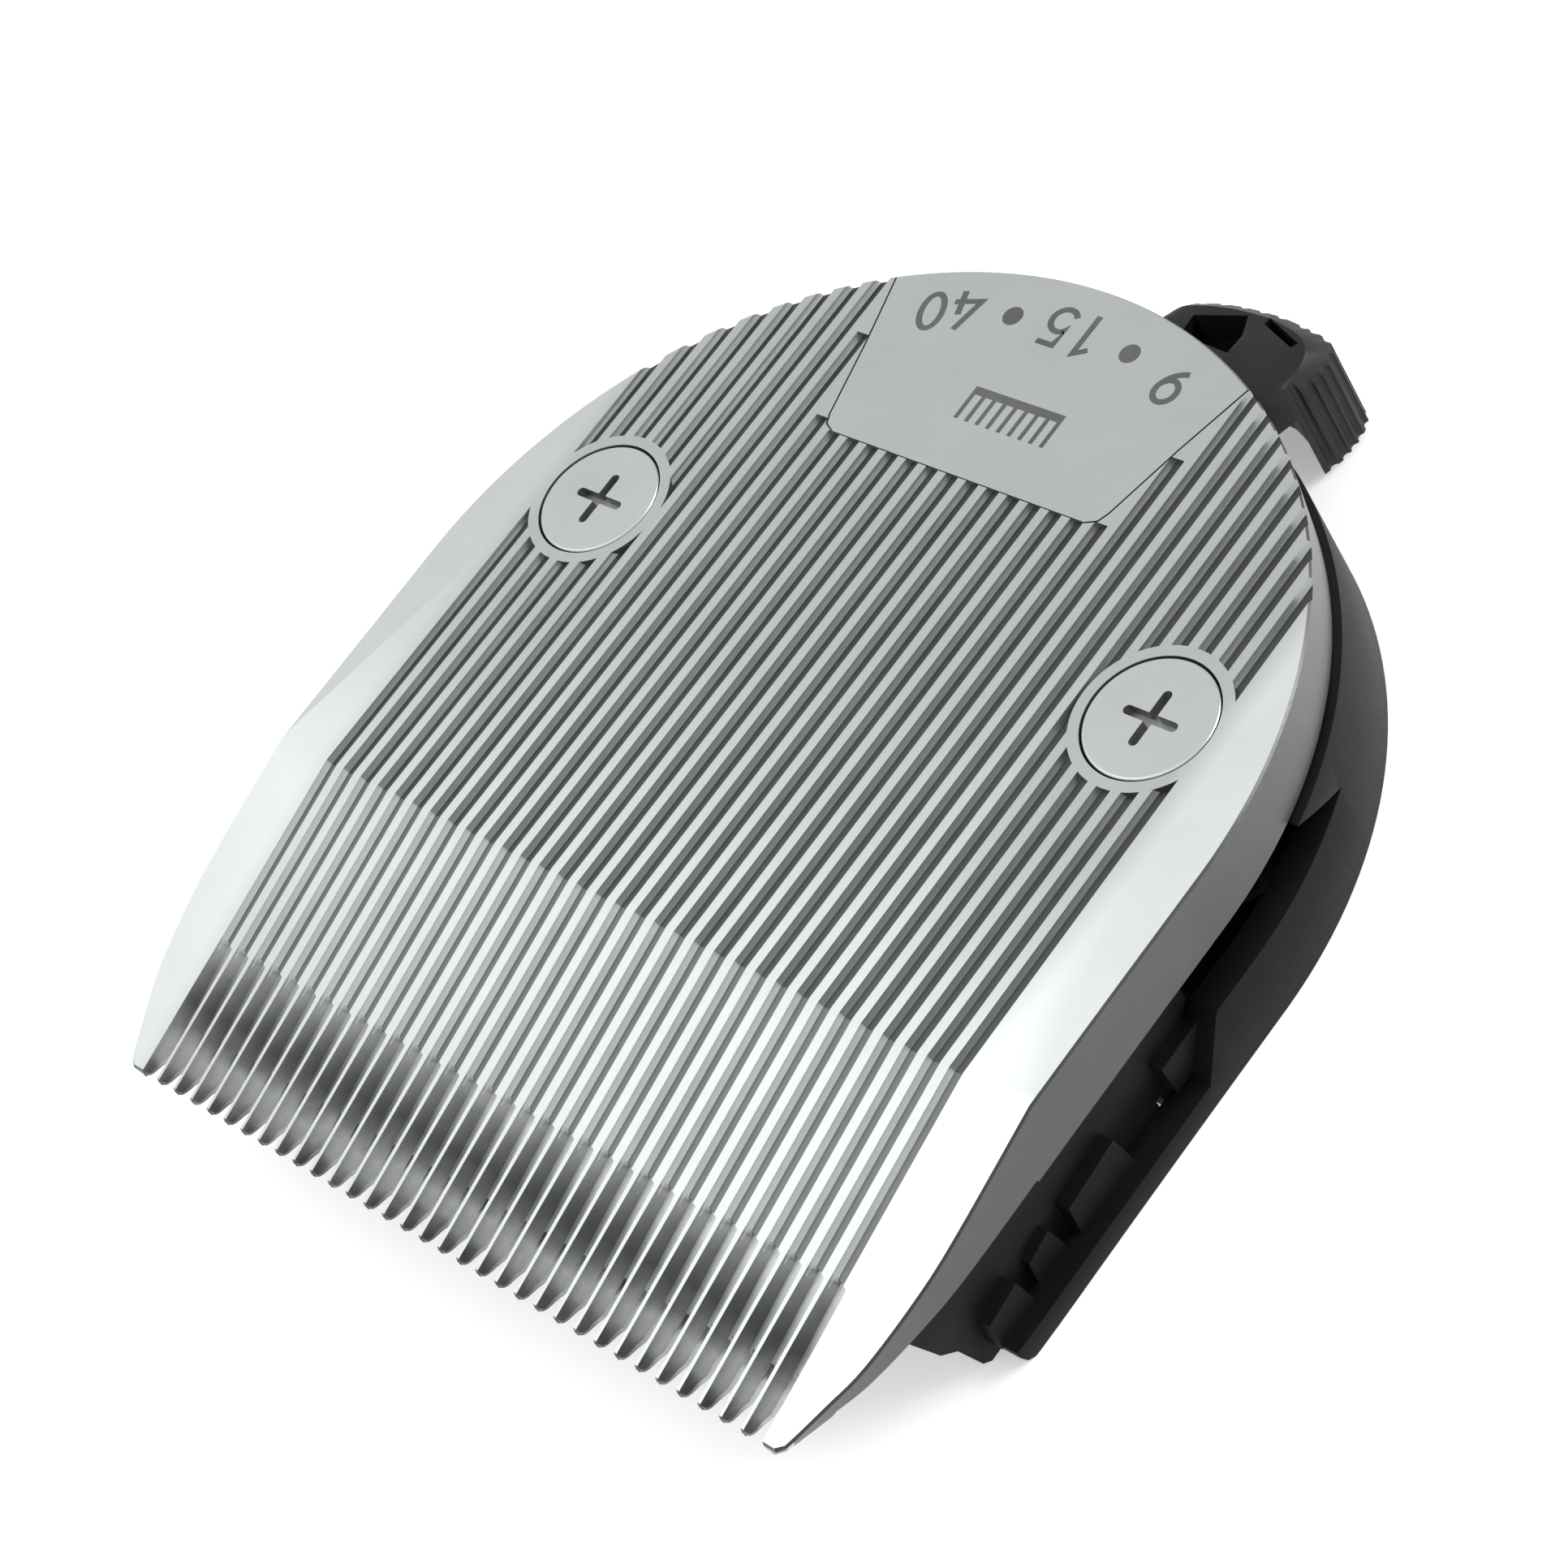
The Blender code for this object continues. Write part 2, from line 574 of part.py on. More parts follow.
def mover(name, objects, location=(0.0, 0.0, 0.0)):
    """Empty on the joint axis that the moving pieces hang from."""
    empty = bpy.data.objects.new(name, None)
    empty.location = Vector(location) * MM
    bpy.context.scene.collection.objects.link(empty)
    for obj in objects:
        obj.parent = empty
        obj.matrix_parent_inverse = Matrix.Translation(-empty.location)
    return empty


def build():
    clear_scene()
    steel = (0.72, 0.74, 0.74)
    bright = (0.80, 0.80, 0.79)
    black = (0.012, 0.012, 0.013)
    make_comb(material("ground_steel", steel, 0.32, 1.0))
    make_comb_screw("comb_screw_left", -1, material("screw_steel_left", bright, 0.25, 1.0))
    make_comb_screw("comb_screw_right", 1, material("screw_steel_right", bright, 0.25, 1.0))
    make_frame(material("frame_plastic", black, 0.5, 0.0))
    make_insert("screw_insert_left", -1, material("insert_brass_left", (0.70, 0.52, 0.22), 0.35, 1.0))
    make_insert("screw_insert_right", 1, material("insert_brass_right", (0.70, 0.52, 0.22), 0.35, 1.0))
    make_cover(material("cover_plastic", black, 0.55, 0.0))
    for i, (x, y) in enumerate(COVER_SCREWS):
        make_cover_screw(f"cover_screw_{i + 1}", x, y, material(f"small_screw_{i + 1}", bright, 0.3, 1.0))
    lever = make_lever(material("lever_plastic", black, 0.45, 0.0))
    peg = make_peg(material("peg_steel", bright, 0.3, 1.0))
    make_pin(material("pin_steel", bright, 0.3, 1.0))
    make_washer(material("washer_steel", bright, 0.35, 1.0))
    make_detent(material("detent_steel", steel, 0.3, 1.0))
    carriage = make_carriage(material("carriage_plastic", black, 0.5, 0.0))
    rail = make_rail(material("rail_steel", steel, 0.3, 1.0))
    make_stud("guide_stud_left", -1, material("stud_steel_left", bright, 0.3, 1.0))
    make_stud("guide_stud_right", 1, material("stud_steel_right", bright, 0.3, 1.0))
    left = make_spring("cutter_spring_left", -1, material("spring_wire_left", steel, 0.3, 1.0))
    right = make_spring("cutter_spring_right", 1, material("spring_wire_right", steel, 0.3, 1.0))
    cutter = make_cutter(material("cutter_steel", steel, 0.3, 1.0))
    driver = make_driver(material("driver_plastic", (0.75, 0.74, 0.70), 0.5, 0.0))
    rivets = [make_rivet("cutter_rivet_left", -1, material("rivet_steel_left", bright, 0.3, 1.0)),
              make_rivet("cutter_rivet_right", 1, material("rivet_steel_right", bright, 0.3, 1.0))]
    mover("lever_axis", [lever, peg])
    mover("carriage_axis", [carriage, rail, left, right])
    mover("cutter_axis", [cutter, driver, *rivets])


build()
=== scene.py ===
"""Looks for the adjustable clipper blade set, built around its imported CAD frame.

Lengths below are millimetres unless a name says otherwise; MM turns them into metres.
"""

import math

import bmesh
import bpy
from mathutils import Matrix, Vector


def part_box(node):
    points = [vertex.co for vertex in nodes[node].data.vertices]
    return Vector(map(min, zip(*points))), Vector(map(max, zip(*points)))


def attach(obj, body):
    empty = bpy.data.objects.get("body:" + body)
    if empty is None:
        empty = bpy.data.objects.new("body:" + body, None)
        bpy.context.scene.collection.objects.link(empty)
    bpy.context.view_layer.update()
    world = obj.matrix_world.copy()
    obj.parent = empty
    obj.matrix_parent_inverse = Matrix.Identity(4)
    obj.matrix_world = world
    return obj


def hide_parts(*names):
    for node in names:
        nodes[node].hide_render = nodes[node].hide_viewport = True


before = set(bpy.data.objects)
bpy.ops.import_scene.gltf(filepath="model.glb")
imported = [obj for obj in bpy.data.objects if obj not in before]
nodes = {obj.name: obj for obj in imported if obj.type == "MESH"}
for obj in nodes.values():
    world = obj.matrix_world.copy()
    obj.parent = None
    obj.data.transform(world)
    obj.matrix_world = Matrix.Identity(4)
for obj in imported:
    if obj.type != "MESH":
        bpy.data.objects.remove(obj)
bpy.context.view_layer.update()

MM = 0.001
DEG = math.radians

# --- sizes of the comb -------------------------------------------------------------
HEIGHT = 10.7
REAR_RADIUS = 25.0
BEVEL_SLOPE = math.tan(DEG(11.2))
CREASE_Y = -12.4
TIP_Y = -29.3
COMB_BOTTOM = 6.65
PITCH = 1.30
FIRST_CREST = -21.45
GAPS = 33
GROOVE_DEPTH = 0.31
TOOTH_START_Y = -22.0
SLOT_START_Y = -26.3
SCREW_X, SCREW_Y = 17.85, 5.56


# --- small mesh kit ------------------------------------------------------------------
def mesh_object(name, bm):
    bmesh.ops.recalc_face_normals(bm, faces=bm.faces)
    mesh = bpy.data.meshes.new(name)
    bm.to_mesh(mesh)
    bm.free()
    obj = bpy.data.objects.new(name, mesh)
    bpy.context.scene.collection.objects.link(obj)
    return obj


def smooth(obj, degrees):
    obj.data.shade_smooth()
    obj.data.set_sharp_from_angle(angle=DEG(degrees))


def loft(rings):
    """Closed skin between rings of points in mm, each with the same count."""
    bm = bmesh.new()
    made = [[bm.verts.new(Vector(p) * MM) for p in ring] for ring in rings]
    count = len(made[0])
    for low, high in zip(made, made[1:]):
        for i in range(count):
            j = (i + 1) % count
            bm.faces.new((low[i], low[j], high[j], high[i]))
    bm.faces.new(made[0])
    bm.faces.new(made[-1])
    return bm


def prism(outline, z0, z1):
    return loft([[(x, y, z0) for x, y in outline], [(x, y, z1) for x, y in outline]])


def side_prism(profile, x0, x1):
    return loft([[(x0, y, z) for y, z in profile], [(x1, y, z) for y, z in profile]])


def circle(x, y, radius, count):
    return [(x + radius * math.cos(2 * math.pi * i / count), y + radius * math.sin(2 * math.pi * i / count))
            for i in range(count)]


def turned(x, y, profile, count=96):
    return loft([[(px, py, z) for px, py in circle(x, y, r, count)] for r, z in profile])


def joined(parts):
    total = bmesh.new()
    for part in parts:
        bmesh.ops.recalc_face_normals(part, faces=part.faces)
        mesh = bpy.data.meshes.new("part")
        part.to_mesh(mesh)
        part.free()
        total.from_mesh(mesh)
        bpy.data.meshes.remove(mesh)
    return total


def apply_modifiers(obj):
    mesh = bpy.data.meshes.new_from_object(obj.evaluated_get(bpy.context.evaluated_depsgraph_get()))
    obj.modifiers.clear()
    obj.data = mesh


def combine(obj, bm, operation):
    tool = mesh_object("tool", bm)
    modifier = obj.modifiers.new("cut", "BOOLEAN")
    modifier.operation = operation
    modifier.solver = "EXACT"
    modifier.object = tool
    apply_modifiers(obj)
    bpy.data.objects.remove(tool, do_unlink=True)


def cut(obj, *shapes):
    for bm in shapes:
        combine(obj, bm, "DIFFERENCE")


def add(obj, *shapes):
    for bm in shapes:
        combine(obj, bm, "UNION")


def polar(radius, deg):
    """Angle from +Y towards +X."""
    return radius * math.sin(DEG(deg)), radius * math.cos(DEG(deg))


def sector(inner, outer, start, end, steps):
    angles = [start + (end - start) * i / steps for i in range(steps + 1)]
    return [polar(outer, a) for a in angles] + [polar(inner, a) for a in reversed(angles)]


def interp(table, t):
    """Straight-line lookup in a table of (place, value), held at both ends."""
    for (a, va), (b, vb) in zip(table, table[1:]):
        if t <= b:
            s = (t - a) / (b - a)
            return va + (vb - va) * max(0.0, s)
    return table[-1][1]


def smooth_curve(table, count):
    """Catmull-Rom samples through (y, x) control points."""
    pts = [Vector(p) for p in table]
    pts = [pts[0] * 2 - pts[1]] + pts + [pts[-1] * 2 - pts[-2]]
    out = []
    for i in range(1, len(pts) - 2):
        p0, p1, p2, p3 = pts[i - 1:i + 3]
        for k in range(count):
            t = k / count
            out.append(0.5 * ((2 * p1) + (p2 - p0) * t + (2 * p0 - 5 * p1 + 4 * p2 - p3) * t * t
                              + (3 * p1 - p0 - 3 * p2 + p3) * t ** 3))
    out.append(pts[-2])
    return [(p.x, p.y) for p in out]


# half width of the comb along its straight side, (y, x)
SIDE = [(-29.3, 22.15), (-28.9, 22.55), (-26.7, 23.4), (-24.7, 24.1), (-21.4, 24.66), (-18.4, 24.87),
        (-11.9, 24.9), (-6.0, 24.94), (0.0, 25.0)]


def outline(inset=0.0, front_y=TIP_Y, arc_steps=120, front_inset=0.0):
    """Plan of the comb and frame: straight front, curved sides, half-round rear."""
    right = [(interp(SIDE, front_y) - inset, front_y + front_inset)]
    right += [(x - inset, y) for y, x in smooth_curve(SIDE, 5) if y > front_y + 0.25]
    rear = [((REAR_RADIUS - inset) * math.cos(math.pi * i / arc_steps),
             (REAR_RADIUS - inset) * math.sin(math.pi * i / arc_steps)) for i in range(1, arc_steps)]
    return right + rear + [(-x, y) for x, y in reversed(right)]


# --- materials -----------------------------------------------------------------------
class Nodes:
    """Short way to wire a Principled material in object space."""

    def __init__(self, name):
        self.mat = bpy.data.materials.new(name)
        self.mat.use_nodes = True
        self.tree = self.mat.node_tree
        self.shader = self.tree.nodes["Principled BSDF"]
        self.coord = self.tree.nodes.new("ShaderNodeTexCoord").outputs["Object"]

    def noise(self, scale, stretch=(1, 1, 1), detail=4.0, rough=0.55):
        mapping = self.tree.nodes.new("ShaderNodeMapping")
        mapping.inputs["Scale"].default_value = stretch
        self.tree.links.new(self.coord, mapping.inputs["Vector"])
        node = self.tree.nodes.new("ShaderNodeTexNoise")
        node.inputs["Scale"].default_value = scale
        node.inputs["Detail"].default_value = detail
        node.inputs["Roughness"].default_value = rough
        self.tree.links.new(mapping.outputs["Vector"], node.inputs["Vector"])
        return node.outputs["Fac"]

    def ramp(self, source, stops):
        node = self.tree.nodes.new("ShaderNodeValToRGB")
        ramp = node.color_ramp
        while len(ramp.elements) < len(stops):
            ramp.elements.new(0.5)
        for element, (place, color) in zip(ramp.elements, stops):
            element.position = place
            element.color = (*color, 1.0) if len(color) == 3 else color
        self.tree.links.new(source, node.inputs["Fac"])
        return node.outputs["Color"]

    def spread(self, source, low, high):
        node = self.tree.nodes.new("ShaderNodeMapRange")
        node.inputs["To Min"].default_value = low
        node.inputs["To Max"].default_value = high
        self.tree.links.new(source, node.inputs["Value"])
        return node.outputs["Result"]

    def link(self, source, socket):
        self.tree.links.new(source, self.shader.inputs[socket])

    def bump(self, source, strength, distance_mm, below=None):
        node = self.tree.nodes.new("ShaderNodeBump")
        node.inputs["Strength"].default_value = strength
        node.inputs["Distance"].default_value = distance_mm * MM
        self.tree.links.new(source, node.inputs["Height"])
        if below is not None:
            self.tree.links.new(below, node.inputs["Normal"])
        self.tree.links.new(node.outputs["Normal"], self.shader.inputs["Normal"])
        return node.outputs["Normal"]


def metal(name, dark, light, rough, grain=(1, 1, 1), bump=0.25, scale=9000.0):
    """Bare metal: cloudy tone, fine directional grain and uneven polish."""
    n = Nodes(name)
    n.shader.inputs["Metallic"].default_value = 1.0
    cloud = n.noise(260.0, detail=5.0)
    n.link(n.ramp(cloud, [(0.15, dark), (0.85, light)]), "Base Color")
    streak = n.noise(scale, grain, detail=3.0, rough=0.65)
    n.link(n.spread(streak, rough - 0.05, rough + 0.07), "Roughness")
    n.bump(streak, bump, 0.004)
    return n.mat


def paint_light_ramp(mat, axis, steps):
    """Painted light: base colour times 1 + gain, ramped from start to end mm along an axis, to paint
    reflections and light onto one part of a surface.
    """
    tree = mat.node_tree
    shader = next(node for node in tree.nodes if node.type == "BSDF_PRINCIPLED")
    source = shader.inputs["Base Color"].links[0].from_socket
    place = tree.nodes.new("ShaderNodeTexCoord")
    split = tree.nodes.new("ShaderNodeSeparateXYZ")
    tree.links.new(place.outputs["Object"], split.inputs[0])
    for start, end, gain in steps:
        rise = tree.nodes.new("ShaderNodeMapRange")
        rise.inputs["From Min"].default_value = start * MM
        rise.inputs["From Max"].default_value = end * MM
        rise.inputs["To Min"].default_value = 1.0
        rise.inputs["To Max"].default_value = 1.0 + gain
        tree.links.new(split.outputs[axis], rise.inputs["Value"])
        scale = tree.nodes.new("ShaderNodeVectorMath")
        scale.operation = "SCALE"
        tree.links.new(source, scale.inputs[0])
        tree.links.new(rise.outputs["Result"], scale.inputs["Scale"])
        source = scale.outputs[0]
    tree.links.new(source, shader.inputs["Base Color"])


def flute_metal_painted_shading():
    """Tooth flanks: painted shade and painted reflection as tone bands along y, light where the teeth start,
    darker part way along, lighter and dark again at the tips.
    """
    n = Nodes("steel_flute_painted_shading")
    n.shader.inputs["Metallic"].default_value = 1.0
    split = n.tree.nodes.new("ShaderNodeSeparateXYZ")
    n.tree.links.new(n.coord, split.inputs["Vector"])
    cloud = n.noise(520.0, detail=5.0)
    wander = n.tree.nodes.new("ShaderNodeMath")
    wander.operation = "MULTIPLY_ADD"
    wander.inputs[1].default_value = 0.0024
    n.tree.links.new(cloud, wander.inputs[0])
    n.tree.links.new(split.outputs["Y"], wander.inputs[2])
    along = n.tree.nodes.new("ShaderNodeMapRange")
    along.inputs["From Min"].default_value = -28.1 * MM
    along.inputs["From Max"].default_value = -20.8 * MM
    n.tree.links.new(wander.outputs["Value"], along.inputs["Value"])
    # Painted shade and painted reflection: base colour bands by place along the teeth.
    painted_shading_tones = [(0.0, 0.12), (0.08, 0.20), (0.17, 0.38), (0.29, 0.44), (0.41, 0.26), (0.56, 0.17), (0.80, 0.26),
             (1.0, 0.42)]
    n.link(n.ramp(along.outputs["Result"], [(p, grey(v)) for p, v in painted_shading_tones]), "Base Color")
    streak = n.noise(6000.0, (1, 0.2, 1), detail=3.0)
    n.link(n.spread(streak, 0.20, 0.36), "Roughness")
    n.bump(streak, 0.15, 0.004)
    return n.mat


def plastic(name, dark, light, rough, bump=0.35, scale=5200.0, gloss=0.3):
    """Moulded plastic: fine spark texture over a faint flow pattern."""
    n = Nodes(name)
    flow = n.noise(180.0, detail=4.0)
    n.link(n.ramp(flow, [(0.30, dark), (0.72, light)]), "Base Color")
    spark = n.noise(scale, detail=2.0, rough=0.6)
    n.link(n.spread(spark, rough - 0.08, rough + 0.10), "Roughness")
    n.shader.inputs["Specular IOR Level"].default_value = gloss
    coarse = n.bump(flow, 0.12, 0.03)
    n.bump(spark, bump, 0.006, coarse)
    return n.mat


def grey(v, tint=(1.0, 1.0, 1.0)):
    return tuple(v * t for t in tint)


COOL = (0.965, 1.0, 0.99)
WARM = (1.0, 0.985, 0.955)
STEEL_TOP = metal("steel_ground_top", grey(0.47, COOL), grey(0.51, COOL), 0.30, (1, 0.3, 1))
# Side wall: painted shade, a much darker base colour than the top's steel.
STEEL_WALL_PAINTED_SHADING = metal("steel_side_wall_painted_shading", grey(0.078, WARM), grey(0.100, WARM), 0.40, (0.2, 0.2, 1))
STEEL_WALL_PAINTED_SHADING.node_tree.nodes["Principled BSDF"].inputs["Metallic"].default_value = 0.7
# Painted reflection: the top face's side borders brightened towards both edges, more on the +X side.
paint_light_ramp(STEEL_TOP, "X", [(20.6, 22.2, 0.46), (-20.6, -22.2, 0.22)])
# Painted light: the side wall lighter towards the rear, from y 3 to 16 mm.
paint_light_ramp(STEEL_WALL_PAINTED_SHADING, "Y", [(3.0, 16.0, 0.6)])
# Groove walls and floors are lit and shaded copies of the comb's steel: painted shade on the rear groove
# walls and on both floors, painted light on the front groove walls.
STEEL_GROOVE_PAINTED_SHADE = metal("steel_groove", grey(0.27, COOL), grey(0.33, COOL), 0.34, (1, 0.2, 1))
STEEL_FLOOR_PAINTED_SHADE = metal("steel_groove_floor_painted_shade", grey(0.06), grey(0.09), 0.36, (1, 0.2, 1))
STEEL_FRONT_GROOVE_PAINTED_LIGHT = metal("steel_front_groove_painted_light", grey(0.50, COOL), grey(0.60, COOL), 0.34, (1, 0.2, 1))
STEEL_FRONT_FLOOR_PAINTED_SHADE = metal("steel_front_floor_painted_shade", grey(0.12), grey(0.16), 0.36, (1, 0.2, 1))
STEEL_FLUTE_PAINTED_SHADING = flute_metal_painted_shading()
STEEL_UNDER = metal("steel_underside", grey(0.42), grey(0.55), 0.38)
SCREW_STEEL = metal("screw_steel", grey(0.51, COOL), grey(0.57, COOL), 0.30, bump=0.3)
# Painted shade: darker copy of the screw steel for the cross recess.
RECESS_STEEL_PAINTED_SHADE = metal("screw_recess_painted_shade", grey(0.26), grey(0.34), 0.45)
BRIGHT_STEEL = metal("small_part_steel", grey(0.62), grey(0.74), 0.30)
BRASS = metal("insert_brass", (0.58, 0.40, 0.15), (0.70, 0.50, 0.20), 0.34)
CUTTER_STEEL = metal("cutter_steel", grey(0.52), grey(0.66), 0.28, (0.08, 1, 1))
BLACK = plastic("frame_black", grey(0.003), grey(0.006), 0.50, gloss=0.14)
LEVER_BLACK = plastic("lever_black", grey(0.006), grey(0.012), 0.46, gloss=0.24)
# Painted shade: darker, duller copy of the lever plastic for the pad's sunk pockets.
POCKET_BLACK_PAINTED_SHADE = plastic("pocket_black_painted_shade", grey(0.001), grey(0.002), 0.6, gloss=0.05)
IVORY = plastic("driver_ivory", (0.52, 0.50, 0.44), (0.62, 0.60, 0.54), 0.48)
MARK = plastic("mark_grey", grey(0.075), grey(0.105), 0.8, 0.2, 9000.0)


def material_by_face(obj, materials, choose):
    obj.data.materials.clear()
    for mat in materials:
        obj.data.materials.append(mat)
    for face in obj.data.polygons:
        face.material_index = choose(face)


# --- comb ----------------------------------------------------------------------------
VISIBLE_TOP = HEIGHT - 0.015
CHAMFER = 0.10
WALL_DRAFT = 0.42
GROOVE_SHIFT = 0.125
GROOVE_HALF = 0.39
TEETH_HALF = 21.63      # half width of the row of teeth
BORE_Z = (COMB_BOTTOM - 1, HEIGHT)      # span of every tool that cuts right through


def face_z(y):
    """Height of the top face: level, then sloping down in front of the crease."""
    return VISIBLE_TOP + min(0.0, y - CREASE_Y) * BEVEL_SLOPE


def comb_body():
    """Drafted slab with a small chamfer, bent down in front of the crease and hollow below."""
    bm = loft([[(x, y, COMB_BOTTOM) for x, y in outline(WALL_DRAFT)],
               [(x, y, VISIBLE_TOP - CHAMFER * 1.2) for x, y in outline()],
               [(x, y, VISIBLE_TOP) for x, y in outline(CHAMFER, front_inset=CHAMFER)]])
    everything = bm.verts[:] + bm.edges[:] + bm.faces[:]
    bmesh.ops.bisect_plane(bm, geom=everything, plane_co=(0, CREASE_Y * MM, 0), plane_no=(0, 1, 0))
    for v in bm.verts:
        if v.co.z > (COMB_BOTTOM + 1) * MM:
            v.co.z += min(0.0, v.co.y - CREASE_Y * MM) * BEVEL_SLOPE
    obj = mesh_object("comb_blade_visual", bm)
    pocket = outline(1.5, -9.0, 60)
    cut(obj, prism(pocket, COMB_BOTTOM - 1, HEIGHT - 1.9))
    return obj


def section(stations, shape_at):
    """Rings at several y of a section given by shape_at(y)."""
    return [[(x, y, z) for x, z in shape_at(y)] for y in stations]


def groove(x0):
    """Shallow groove between two crests of the ribbed face."""
    half, middle, base, low = GROOVE_HALF, 0.335, 0.235, GROOVE_DEPTH

    def shape(y):
        top = face_z(y)
        pts = [(-half, 2.0), (-half, 0.0), (-middle, -low * 0.5), (-base, -low), (base, -low),
               (middle, -low * 0.5), (half, 0.0), (half, 2.0)]
        return [(x0 + x, top + z) for x, z in pts]

    return loft(section([REAR_RADIUS + 2, CREASE_Y, TOOTH_START_Y - 0.6], shape))


# (y, depth) and (y, half width) of the gap between two teeth
FLUTE_DEPTH = [(-29.3, 0.64), (-28.4, 0.70), (-26.4, 0.70), (-25.0, 0.63), (-23.5, 0.54), (-22.0, 0.49)]
FLUTE_HALF = [(-29.3, 0.57), (-28.0, 0.555), (-25.0, 0.555), (-22.0, 0.52)]


def flute(x0):
    """Wide gap between two teeth: steep straight flanks under a narrow crest."""
    base = 0.235
    stations = [-22.0, -22.8, -23.6, -24.4, -25.2, -25.8, -26.4, -27.4, -28.4, -29.3, -30.5]

    def shape(y):
        top = face_z(y)
        depth = interp(FLUTE_DEPTH, y)
        half = interp(FLUTE_HALF, y)
        bow = 0.03
        pts = [(-half, 2.0), (-half, 0.0), (-(half + base) / 2 - bow, -depth * 0.5), (-base, -depth),
               (base, -depth), ((half + base) / 2 + bow, -depth * 0.5), (half, 0.0), (half, 2.0)]
        return [(x0 + x, top + z) for x, z in pts]

    rings = section(stations, shape)
    rings[0] = [(x, y - max(0.0, x - x0 + 0.1) * 0.55, z) for x, y, z in rings[0]]
    bm = loft(rings)
    bmesh.ops.triangulate(bm, faces=bm.faces)
    return bm


def tooth_slot(x0):
    """Through slot between two teeth, wider at its mouth so that the tips are pointed."""
    half = 0.225
    rear = [(half * math.cos(DEG(a)), SLOT_START_Y + half * math.sin(DEG(a))) for a in range(0, 181, 22)]
    mouth = [(-half, -27.97), (-0.27, -28.17), (-0.32, -28.43), (-0.345, -28.72), (-0.365, -28.96),
             (-0.40, -29.09), (-0.46, -29.19), (-0.54, -29.24), (-0.61, -29.26), (-0.61, -30.7)]
    shape = rear + mouth + [(-x, y) for x, y in reversed(mouth)]
    return prism([(x0 + x, y) for x, y in shape], *BORE_Z)


# left edge of the smooth plate, (x, y) from the rear to its front corner
PLATE = [(-11.15, 26.0), (-11.15, 22.3), (-10.0, 18.3), (-8.95, 14.1), (-8.7, 13.55), (-8.1, 13.25)]
BOSS_RADIUS = 3.87


def tidy_mesh(obj):
    """Drop the slivers that a Boolean leaves."""
    bm = bmesh.new()
    bm.from_mesh(obj.data)
    bmesh.ops.remove_doubles(bm, verts=bm.verts, dist=2e-7)
    bmesh.ops.dissolve_degenerate(bm, edges=bm.edges, dist=5e-7)
    bm.to_mesh(obj.data)
    bm.free()


# side profiles, (y, z): underside relief of the tooth tips, and the thinner front of the side wall
TIP_LIFT = [(-27.4, COMB_BOTTOM - 0.13), (-28.9, COMB_BOTTOM + 0.16), (-30.1, COMB_BOTTOM + 0.45),
            (-30.1, COMB_BOTTOM - 1)]
SIDE_STEP = [(-13.9, COMB_BOTTOM - 1), (-13.95, COMB_BOTTOM + 0.09), (-14.0, COMB_BOTTOM + 0.18),
             (-26.5, COMB_BOTTOM + 0.18), (-28.0, COMB_BOTTOM - 1)]


def groove_end(x0):
    """Y at which a groove beside or under the smooth plate stops."""
    inner = abs(x0) - GROOVE_HALF
    for (xa, ya), (xb, yb) in zip(PLATE, PLATE[1:]):
        if -xb <= inner <= -xa:
            return ya + (yb - ya) * (inner + xa) / (xa - xb) if xa != xb else ya
    return PLATE[-1][1] if inner < -PLATE[-1][0] else None


def plate_line(side):
    """Hairline along the plate's edge, as a strip outside it."""
    path = [(side * x, y) for x, y in PLATE[1:]] + [(0.0, PLATE[-1][1])]
    inner = [(side * (abs(x) - 0.04), y + 0.03) for x, y in path[:-1]] + [(0.0, PLATE[-1][1] + 0.03)]
    outer = [(side * (abs(x) + 0.04), y - 0.03) for x, y in path[:-1]] + [(0.0, PLATE[-1][1] - 0.03)]
    return prism(inner + outer[::-1], VISIBLE_TOP - 0.08, VISIBLE_TOP + 1)


